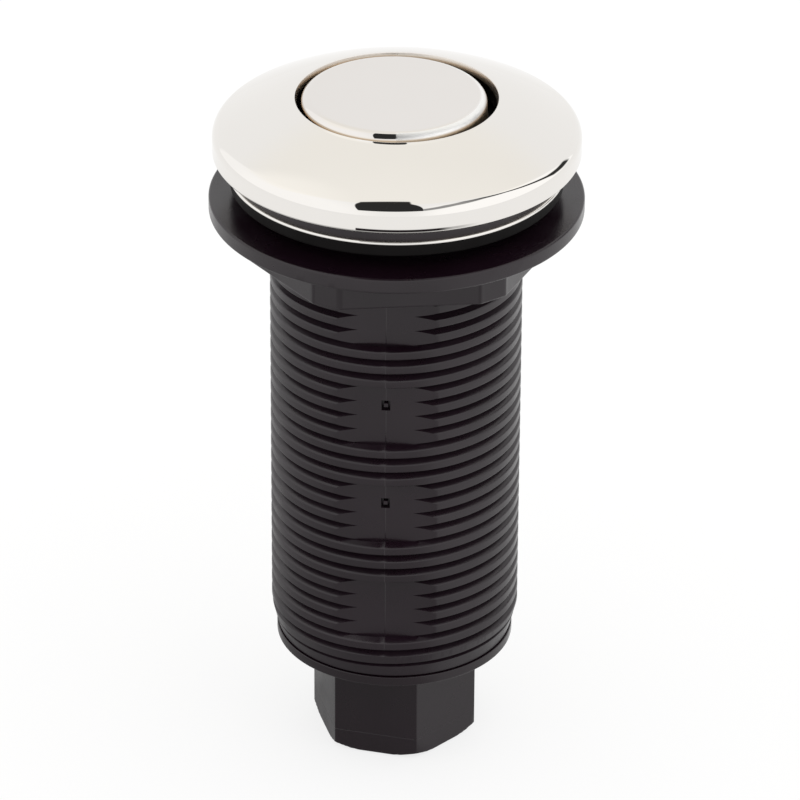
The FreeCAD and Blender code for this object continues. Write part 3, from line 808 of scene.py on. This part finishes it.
def make_nut(materials):
    """The flange nut: cut hexagon below, round flange above, plain mouth chamfers."""
    faces = cut_hexagon_faces(NUT_COLLAR, NUT_CORNERS, NUT_DIRECTION)
    flange_low = nut_high.z - NUT_FLANGE_THICK
    flange = nut_high.x

    def bulge(direction):
        return polygon_radius(direction, faces, NUT_CORNER_ROUND) - NUT_COLLAR

    profile = [
        (NUT_BORE + NUT_MOUTH, nut_low.z, 0.1),
        (NUT_COLLAR, nut_low.z, NUT_EDGE_ROUND, bulge),
        (NUT_COLLAR, flange_low, 0.2, bulge),
        (flange, flange_low, NUT_EDGE_ROUND),
        (flange, nut_high.z, NUT_EDGE_ROUND),
        (NUT_BORE + NUT_MOUTH, nut_high.z, 0.1),
        (NUT_BORE, nut_high.z - NUT_MOUTH),
        (NUT_BORE, nut_low.z + NUT_MOUTH),
    ]
    columns = column_directions(240, corner_directions(faces), 1.2)
    nut = skin("nut", rounded_profile(profile, 5), columns)
    dress(nut, "nut", "nut_plastic", materials["nut_plastic"], "flange_nut")


def make_cap(materials):
    """The end cap: hexagon with a tube nipple inside, disc, spigot and stub."""
    inner = HEX_FLATS / 2
    faces = hexagon_faces(inner, HEX_DIRECTION)

    def bulge(direction):
        return polygon_radius(direction, faces, HEX_EDGE_ROUND) - inner

    def capped(height):
        corner = inner / math.cos(turn(30)) + 0.3
        limit = HEX_FOOT_RADIUS + (corner - HEX_FOOT_RADIUS) * height / HEX_FOOT_HEIGHT
        return lambda direction: min(bulge(direction), limit - inner)

    foot = []
    for k in range(HEX_FOOT_STEPS):
        height = HEX_FOOT_HEIGHT * k / HEX_FOOT_STEPS
        foot.append((inner, cap_low.z + height, 0.12 if k == 0 else 0.0, capped(height)))
    groove_low = GROOVE_MIDDLE - GROOVE_HALF
    groove_high = GROOVE_MIDDLE + GROOVE_HALF
    profile = [
        (AIR_BORE, NIPPLE_TIP),
        (NIPPLE_RADIUS, NIPPLE_TIP, 0.4),
        (NIPPLE_RADIUS, CAP_FLOOR, 0.2),
        (SOCKET_RADIUS, CAP_FLOOR, 0.3),
        (SOCKET_RADIUS, cap_low.z, 0.15),
        *foot,
        (inner, HEX_SEAM_HEIGHT - HEX_SEAM_HALF, 0.0, bulge),
        (inner - HEX_SEAM_DEPTH, HEX_SEAM_HEIGHT, 0.0, bulge),
        (inner, HEX_SEAM_HEIGHT + HEX_SEAM_HALF, 0.0, bulge),
        (inner, HEX_HEIGHT, 0.2, bulge),
        (DISC_RADIUS, HEX_HEIGHT, 0.2),
        (DISC_RADIUS, DISC_TOP - SEAM_HEIGHT, 0.1),
        (DISC_RADIUS - SEAM_DEPTH, DISC_TOP - SEAM_HEIGHT),
        (DISC_RADIUS - SEAM_DEPTH, DISC_TOP),
        (SPIGOT_RADIUS, DISC_TOP),
        (SPIGOT_RADIUS, groove_low),
        (GROOVE_FLOOR, groove_low),
        (GROOVE_FLOOR, groove_high),
        (SPIGOT_RADIUS, groove_high),
        (SPIGOT_RADIUS, cap_high.z, 0.2),
        (SPIGOT_RADIUS - SPIGOT_WALL, cap_high.z, 0.2),
        (SPIGOT_RADIUS - SPIGOT_WALL, DISC_TOP),
        (STUB_RADIUS, DISC_TOP),
        (STUB_RADIUS, STUB_TOP, 0.2),
        (AIR_BORE, STUB_TOP),
    ]
    columns = column_directions(180, corner_directions(faces), 1.6)
    cap = skin("cap", rounded_profile(profile), columns)
    dress(cap, "switch_body", "cap_plastic", materials["cap_plastic"], "end_cap")


def hole_roll(centre, crest_angle):
    """The dome's small round at the hole and the wall under it, which is steep but not upright."""
    inner = DOME_RADIUS - ROLL_ROUND
    middle = (inner * math.cos(turn(crest_angle)), centre + inner * math.sin(turn(crest_angle)))
    roll = arc_points(middle, ROLL_ROUND, crest_angle, 90 + ROLL_END, 10)
    radius, height = roll[-1]
    return roll + [(TRIM_HOLE, height - (radius - TRIM_HOLE) * math.tan(turn(ROLL_SLOPE)))]


def make_trim(materials):
    """The polished trim: spherical dome, rounded edge, neck and lip, hollow below."""
    top = trim_high.z
    centre = top - math.sqrt(DOME_RADIUS ** 2 - DOME_CREST ** 2)
    edge_radius = trim_high.x - TRIM_EDGE_ROUND
    reach = DOME_RADIUS - TRIM_EDGE_ROUND
    edge_height = centre + math.sqrt(reach ** 2 - edge_radius ** 2)
    edge_angle = math.degrees(math.acos(edge_radius / reach))
    crest_angle = math.degrees(math.acos(ROLL_START / DOME_RADIUS))
    shelf = trim_low.z + SHELF_HEIGHT
    inner = DOME_RADIUS - TRIM_WALL
    hollow = trim_high.x - TRIM_HOLLOW_INSET
    lip_outer = TRIM_HOLE + HOLE_LIP_WIDTH
    hollow_angle = math.degrees(math.acos(hollow / inner))
    lip_angle = math.degrees(math.acos(lip_outer / inner))
    foot_radius = trim_high.x - TRIM_FOOT_ROUND
    outline = [
        *arc_points((foot_radius, shelf + TRIM_FOOT_ROUND), TRIM_FOOT_ROUND, -90, 0, 6),
        *arc_points((edge_radius, edge_height), TRIM_EDGE_ROUND, 0, edge_angle, 24),
        *arc_points((0, centre), DOME_RADIUS, edge_angle, crest_angle, 24)[1:],
        *hole_roll(centre, crest_angle)[1:],
        (TRIM_HOLE, top - HOLE_LIP_HEIGHT),
        (lip_outer, top - HOLE_LIP_HEIGHT),
        *arc_points((0, centre), inner, lip_angle, hollow_angle, 8),
        (hollow, TRIM_SEAT),
        (TRIM_BORE, TRIM_SEAT),
        (TRIM_BORE, trim_low.z),
        *arc_points((LIP_RADIUS - LIP_THICK / 2, trim_low.z + LIP_THICK / 2), LIP_THICK / 2, -90, 90, 10),
        (NECK_SEAT, trim_low.z + LIP_THICK),
        (NECK_SEAT, shelf),
    ]
    profile = []
    for radius, height in outline:
        at_hole = radius <= ROLL_START + HAIR
        profile.append((radius, height, off_centre(radius, HOLE_PLAY) if at_hole else None))
    trim = skin("trim", profile, column_directions(256))
    dress(trim, "switch_body", "metal_trim", materials["metal_trim"], "trim_flange")


def off_centre(radius, play=BUTTON_PLAY):
    """How far a circle that is moved by a play lies outside the centred one, by direction."""
    shift = Vector(play)

    def bulge(direction):
        along = shift.x * math.cos(turn(direction)) + shift.y * math.sin(turn(direction))
        across = shift.x * math.sin(turn(direction)) - shift.y * math.cos(turn(direction))
        return along + math.sqrt(radius * radius - across * across) - radius

    return bulge


def make_button(materials):
    """The polished push button, a drawn cup."""
    top = button_high.z
    edge = BUTTON_RADIUS - BUTTON_EDGE_ROUND
    head = top - BUTTON_HEAD_HEIGHT
    outline = [
        (0, top),
        *arc_points((edge, top - BUTTON_EDGE_ROUND), BUTTON_EDGE_ROUND, 90, 0, 24),
        (BUTTON_RADIUS, head),
        (BUTTON_SKIRT, head - BUTTON_SKIRT_STEP),
        (BUTTON_SKIRT, button_low.z),
        (BUTTON_BORE, button_low.z),
        (BUTTON_BORE, top - BUTTON_TOP_THICK),
        (0, top - BUTTON_TOP_THICK),
    ]
    profile = [(radius, height, off_centre(radius)) for radius, height in outline]
    button = skin("button", profile, column_directions(192))
    dress(button, "button", "metal_button", materials["metal_button"], "button_cap")


def make_guide(materials):
    """The guide ring in the barrel's mouth, whose bore follows the button."""
    low, high = box_mm("guide_ring")
    shift = off_centre(GUIDE_BORE)
    profile = [
        (GUIDE_BORE, low.z, shift),
        (GUIDE_HUB, low.z, None),
        (GUIDE_HUB, barrel_high.z, None),
        (GUIDE_FLANGE, barrel_high.z, None),
        (GUIDE_FLANGE, high.z, None),
        (GUIDE_BORE, high.z, shift),
    ]
    guide = skin("guide", profile, column_directions(144))
    dress(guide, "switch_body", "inner_plastic", materials["inner_plastic"], "guide_ring")


def make_wiper(materials):
    """The wiper seal, whose lip leans in towards the button's skirt."""
    low, high = box_mm("wiper_seal")
    inner = GUIDE_BORE + WIPER_LIP_WALL
    base = low.z + WIPER_BASE
    profile = [
        (inner, low.z, off_centre(inner)),
        (WIPER_RADIUS, low.z, None),
        (WIPER_RADIUS, base, None),
        (inner + WIPER_LIP_WALL, base, off_centre(inner + WIPER_LIP_WALL)),
        (inner, high.z, off_centre(inner)),
        (GUIDE_BORE, high.z, off_centre(GUIDE_BORE)),
        (inner, base, off_centre(inner)),
    ]
    wiper = skin("wiper", profile, column_directions(144))
    dress(wiper, "switch_body", "rubber", materials["rubber"], "wiper_seal")


def paint_frame(materials):
    """Give the CAD nodes that stay in view or inside their materials by slot."""
    slots = {
        "plunger": "inner_plastic",
        "neck_band": "barrel_plastic",
        "stem_clip": "steel",
        "trim_snap_ring": "steel",
        "head_seal": "rubber",
        "counter_gasket": "gasket_rubber",
        "guide_bush": "bush_plastic",
        "spring_seat_washer": "steel",
        "rebound_washer": "rubber",
        "return_spring": "steel",
        "bellows": "rubber",
        "bellows_clamp": "steel",
        "cap_o_ring": "rubber",
    }
    for name, slot in slots.items():
        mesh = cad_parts[name].data
        mesh.materials.clear()
        mesh.materials.append(materials[slot])


def make_camera():
    """The photograph's camera."""
    data = bpy.data.cameras.new("camera")
    data.lens = CAMERA_LENS
    data.sensor_width = 36.0
    data.clip_start = 0.01
    data.clip_end = 100.0
    camera = bpy.data.objects.new("camera", data)
    bpy.context.scene.collection.objects.link(camera)
    pitch, yaw = CAMERA_PITCH, CAMERA_YAW
    forward = Vector((math.sin(yaw) * math.cos(pitch), math.cos(yaw) * math.cos(pitch), -math.sin(pitch)))
    level = Vector((math.cos(yaw), -math.sin(yaw), 0))
    up = level.cross(forward)
    right = math.cos(CAMERA_ROLL) * level + math.sin(CAMERA_ROLL) * up
    above = -math.sin(CAMERA_ROLL) * level + math.cos(CAMERA_ROLL) * up
    place = Matrix((right, above, -forward)).transposed().to_4x4()
    place.translation = MM * Vector((
        0,
        -CAMERA_DISTANCE * math.cos(CAMERA_ELEVATION),
        CAMERA_DISTANCE * math.sin(CAMERA_ELEVATION) + CAMERA_TARGET_HEIGHT,
    ))
    camera.matrix_world = place
    bpy.context.scene.camera = camera


# Room that the polished metal mirrors, in directions with +X to the right and -Y to the front.
# Dark card above the front: corners in the plane of (x / z, y / z), in order
CARD_CORNERS = ((-0.17, 0.12), (-0.64, -1.38), (0.4, -1.24), (0.06, 0.12))
CARD_SOFT = 0.006
CARD_LEVEL = 0.028
CARD_LOWEST = 0.02
CARD_FADE = (0.1, 0.2)

# Dark line from the card round to the right: its elevation rises and falls in stretches of azimuth
LINE_START = 19.0
LINE_END = 128.0
LINE_TOP = 44.5
LINE_FALLS = (
    (19.0, 45.0, -11.3),
    (45.0, 74.0, -3.6),
    (74.0, 88.0, 5.6),
    (88.0, 108.0, 38.0),
    (108.0, 117.0, 3.7),
)
LINE_HALF = 6.5
LINE_SOFT = 2.0
LINE_ENDS = (2.0, 4.0)

# It widens and darkens over these azimuths
LINE_WIDENS = (78.0, 96.0)
LINE_WIDER = 0.8
LINE_DARKENS = (55.0, 95.0)
LINE_FAINT = 0.7
LINE_DARK = 0.97

# Brightness: the front, and what the left, the right and the ceiling behind add to it
FRONT_LEVEL = 1.05
LEFT_PLANE = (-0.707, -0.707, 0.0)
LEFT_EDGE = (-0.03, 0.05)
LEFT_REACH = (-0.55, -0.1)
LEFT_GAIN = 0.1
RIGHT_PLANE = (0.629, -0.697, -0.345)
RIGHT_EDGE = (-0.02, 0.03)
RIGHT_REACH = (0.1, 0.5)
RIGHT_GAIN = 0.16
BACK_REACH = (0.1, 0.5)
BACK_LOSS = 0.04
CEILING_HEIGHT = (0.55, 0.8)
CEILING_START = (-0.02, 0.1)
CEILING_TINT = (1.0, 0.985, 0.945)
ROOM_LEVEL = 1.0


def half_plane(tree, x, y, one, two):
    """One on the left of the edge from one corner to the next, zero on its right, soft between."""
    along = Vector((two[0] - one[0], two[1] - one[1])).normalized()
    side = calc(tree, "ADD", calc(tree, "MULTIPLY", x, -along.y), calc(tree, "MULTIPLY", y, along.x))
    offset = along.x * one[1] - along.y * one[0]
    return remap(tree, calc(tree, "SUBTRACT", side, offset), -CARD_SOFT, CARD_SOFT, 0.0, 1.0)


def card_mask(tree, split):
    """One inside the dark card."""
    height = calc(tree, "MAXIMUM", split.outputs[2], CARD_LOWEST)
    x = calc(tree, "DIVIDE", split.outputs[0], height)
    y = calc(tree, "DIVIDE", split.outputs[1], height)
    mask = remap(tree, split.outputs[2], *CARD_FADE, 0.0, 1.0)
    for k in range(len(CARD_CORNERS)):
        edge = half_plane(tree, x, y, CARD_CORNERS[k], CARD_CORNERS[(k + 1) % len(CARD_CORNERS)])
        mask = calc(tree, "MULTIPLY", mask, edge)
    return mask


def line_mask(tree, split):
    """One on the dark line."""
    front = calc(tree, "MULTIPLY", split.outputs[1], -1.0)
    azimuth = calc(tree, "DEGREES", calc(tree, "ARCTAN2", split.outputs[0], front))
    elevation = calc(tree, "DEGREES", calc(tree, "ARCSINE", split.outputs[2]))
    middle = None
    for start, end, fall in LINE_FALLS:
        drop = remap(tree, azimuth, start, end, 0.0, fall, "LINEAR")
        middle = drop if middle is None else calc(tree, "ADD", middle, drop)
    away = calc(tree, "ABSOLUTE", calc(tree, "SUBTRACT", calc(tree, "ADD", elevation, middle), LINE_TOP))
    away = calc(tree, "MULTIPLY", away, remap(tree, azimuth, *LINE_WIDENS, 1.0, LINE_WIDER))
    mask = remap(tree, away, LINE_HALF - LINE_SOFT, LINE_HALF + LINE_SOFT, 1.0, 0.0)
    mask = calc(tree, "MULTIPLY", mask, remap(tree, azimuth, *LINE_DARKENS, LINE_FAINT, LINE_DARK))
    fade_in, fade_out = LINE_ENDS
    mask = calc(tree, "MULTIPLY", mask, remap(tree, azimuth, LINE_START - fade_in, LINE_START, 0.0, 1.0))
    return calc(tree, "MULTIPLY", mask, remap(tree, azimuth, LINE_END - fade_out, LINE_END, 1.0, 0.0))


def across_plane(tree, direction, normal, low, high):
    """Rises from zero to one across a plane through the middle of the room."""
    made = tree.nodes.new("ShaderNodeVectorMath")
    made.operation = "DOT_PRODUCT"
    tree.links.new(direction, made.inputs[0])
    made.inputs[1].default_value = normal
    return remap(tree, made.outputs["Value"], low, high, 0.0, 1.0)


def room_level(tree, direction, split):
    """Brightness of the room that the metal mirrors."""
    left = across_plane(tree, direction, LEFT_PLANE, *LEFT_EDGE)
    left = calc(tree, "MULTIPLY", left, remap(tree, split.outputs[0], *LEFT_REACH, LEFT_GAIN, 0.0))
    right = across_plane(tree, direction, RIGHT_PLANE, *RIGHT_EDGE)
    right = calc(tree, "MULTIPLY", right, remap(tree, split.outputs[0], *RIGHT_REACH, 0.0, RIGHT_GAIN))
    back = remap(tree, split.outputs[1], *BACK_REACH, 0.0, BACK_LOSS)
    level = calc(tree, "ADD", calc(tree, "ADD", left, right), FRONT_LEVEL)
    return calc(tree, "SUBTRACT", level, back)


def room_colour(tree, split):
    """White, with a warm ceiling behind the zenith."""
    high = remap(tree, split.outputs[2], *CEILING_HEIGHT, 0.0, 1.0)
    behind = remap(tree, split.outputs[1], *CEILING_START, 0.0, 1.0)
    return blend_colours(tree, calc(tree, "MULTIPLY", high, behind), (1, 1, 1), CEILING_TINT)


def make_world():
    """A white room: even for diffuse light and the camera, with its card and line for mirrored rays."""
    world = bpy.data.worlds.new("studio")
    bpy.context.scene.world = world
    world.use_nodes = True
    tree = world.node_tree
    background = tree.nodes["Background"]
    place = tree.nodes.new("ShaderNodeTexCoord")
    direction = place.outputs["Generated"]
    split = tree.nodes.new("ShaderNodeSeparateXYZ")
    tree.links.new(direction, split.inputs[0])
    tree.links.new(room_colour(tree, split), background.inputs["Color"])
    card = calc(tree, "MULTIPLY", card_mask(tree, split), 1 - CARD_LEVEL)
    dark = calc(tree, "MAXIMUM", card, line_mask(tree, split))
    mirrored = calc(tree, "MULTIPLY", room_level(tree, direction, split), calc(tree, "SUBTRACT", 1.0, dark))
    path = tree.nodes.new("ShaderNodeLightPath")
    change = calc(tree, "SUBTRACT", mirrored, ROOM_LEVEL)
    change = calc(tree, "MULTIPLY", change, path.outputs["Is Glossy Ray"])
    tree.links.new(calc(tree, "ADD", change, ROOM_LEVEL), background.inputs["Strength"])


# Floor: side in metres, how far below the part it lies, and its shade
FLOOR_SIZE = 20.0
FLOOR_DROP = 0.2
FLOOR_COLOUR = 0.8
FLOOR_SHADOW = 0.22

# The floor that plastic and metal mirror has a painted shadow of the part: dimmer close to the part, most of
# all to the front and left
NEAR_REACH = (15.0, 80.0)
NEAR_LEVEL = 0.72
SIDE_REACH = (110.0, 180.0)
SIDE_TURN = (0.3, 0.65)
SIDE_LOSS = 0.42
BEHIND_TURN = (0.2, 0.6)


def mirrored_floor_painted_shadow(tree, path):
    """How bright the floor is for mirrored rays, with the part's painted shadow, against one for all others.
    """
    place = tree.nodes.new("ShaderNodeTexCoord")
    split = tree.nodes.new("ShaderNodeSeparateXYZ")
    tree.links.new(place.outputs["Object"], split.inputs[0])
    reach = calc(tree, "MAXIMUM", from_axis(tree, split), MM)
    near = span(tree, reach, *NEAR_REACH, NEAR_LEVEL, 1.0)
    behind = remap(tree, calc(tree, "DIVIDE", split.outputs[1], reach), *BEHIND_TURN, 0.0, 1.0)
    near = calc(tree, "MAXIMUM", near, behind)
    rightness = calc(tree, "DIVIDE", split.outputs[0], reach)
    loss = remap(tree, rightness, *SIDE_TURN, SIDE_LOSS, 0.0)
    loss = calc(tree, "MULTIPLY", loss, span(tree, reach, *SIDE_REACH, 1.0, 0.0))
    level = calc(tree, "MULTIPLY", near, calc(tree, "SUBTRACT", 1.0, loss))
    change = calc(tree, "MULTIPLY", calc(tree, "SUBTRACT", level, 1.0), path.outputs["Is Glossy Ray"])
    return calc(tree, "ADD", change, 1.0)


def make_floor():
    """A pale floor: white where it is seen unshaded, with the object's shadow, and open from below."""
    edit = bmesh.new()
    bmesh.ops.create_grid(edit, x_segments=1, y_segments=1, size=FLOOR_SIZE / 2 / MM)
    floor = new_object("floor", edit)
    floor.location.z = -FLOOR_DROP * MM
    material = bpy.data.materials.new("pale_floor")
    material.use_nodes = True
    tree = material.node_tree
    tree.nodes.clear()
    path = tree.nodes.new("ShaderNodeLightPath")
    plain = node(tree, "ShaderNodeBsdfDiffuse", Color=(FLOOR_COLOUR,) * 3 + (1,))
    # Painted shadow of the part on the floor, seen only in mirrored rays.
    level = mirrored_floor_painted_shadow(tree, path)
    shaded = tree.nodes.new("ShaderNodeBsdfDiffuse")
    tree.links.new(blend_colours(tree, level, (0, 0, 0), (FLOOR_SHADOW,) * 3), shaded.inputs["Color"])
    glow = tree.nodes.new("ShaderNodeEmission")
    tree.links.new(calc(tree, "MULTIPLY", level, 1 - FLOOR_SHADOW), glow.inputs["Strength"])
    white = tree.nodes.new("ShaderNodeAddShader")
    tree.links.new(shaded.outputs[0], white.inputs[0])
    tree.links.new(glow.outputs[0], white.inputs[1])
    seen = calc(tree, "ADD", path.outputs["Is Camera Ray"], path.outputs["Is Glossy Ray"])
    seen = calc(tree, "MINIMUM", calc(tree, "ADD", seen, path.outputs["Is Transmission Ray"]), 1.0)
    top = tree.nodes.new("ShaderNodeMixShader")
    tree.links.new(seen, top.inputs[0])
    tree.links.new(plain.outputs[0], top.inputs[1])
    tree.links.new(white.outputs[0], top.inputs[2])
    side = tree.nodes.new("ShaderNodeNewGeometry")
    clear = tree.nodes.new("ShaderNodeBsdfTransparent")
    both = tree.nodes.new("ShaderNodeMixShader")
    tree.links.new(side.outputs["Backfacing"], both.inputs[0])
    tree.links.new(top.outputs[0], both.inputs[1])
    tree.links.new(clear.outputs[0], both.inputs[2])
    output = tree.nodes.new("ShaderNodeOutputMaterial")
    tree.links.new(both.outputs[0], output.inputs["Surface"])
    floor.data.materials.append(material)


LAMP_SIDE = 0.8
LAMP_POWER = 1.2
LAMP_PLACE = (0.35, -0.2, 1.0)
LAMP_AIM = (0, 0, 0.04)


def make_lamp():
    """A large soft lamp above and to the right, left out of reflections."""
    data = bpy.data.lights.new("softbox", "AREA")
    data.shape = "SQUARE"
    data.size = LAMP_SIDE
    data.energy = LAMP_POWER
    lamp = bpy.data.objects.new("softbox", data)
    bpy.context.scene.collection.objects.link(lamp)
    lamp.location = LAMP_PLACE
    lamp.rotation_euler = (Vector(LAMP_AIM) - lamp.location).to_track_quat("-Z", "Y").to_euler()
    lamp.visible_glossy = False


bpy.context.scene.view_settings.view_transform = "Standard"
materials = make_materials()
make_barrel(materials)
make_nut(materials)
make_cap(materials)
make_trim(materials)
make_button(materials)
make_guide(materials)
make_wiper(materials)
paint_frame(materials)
make_world()
make_floor()
make_lamp()
make_camera()
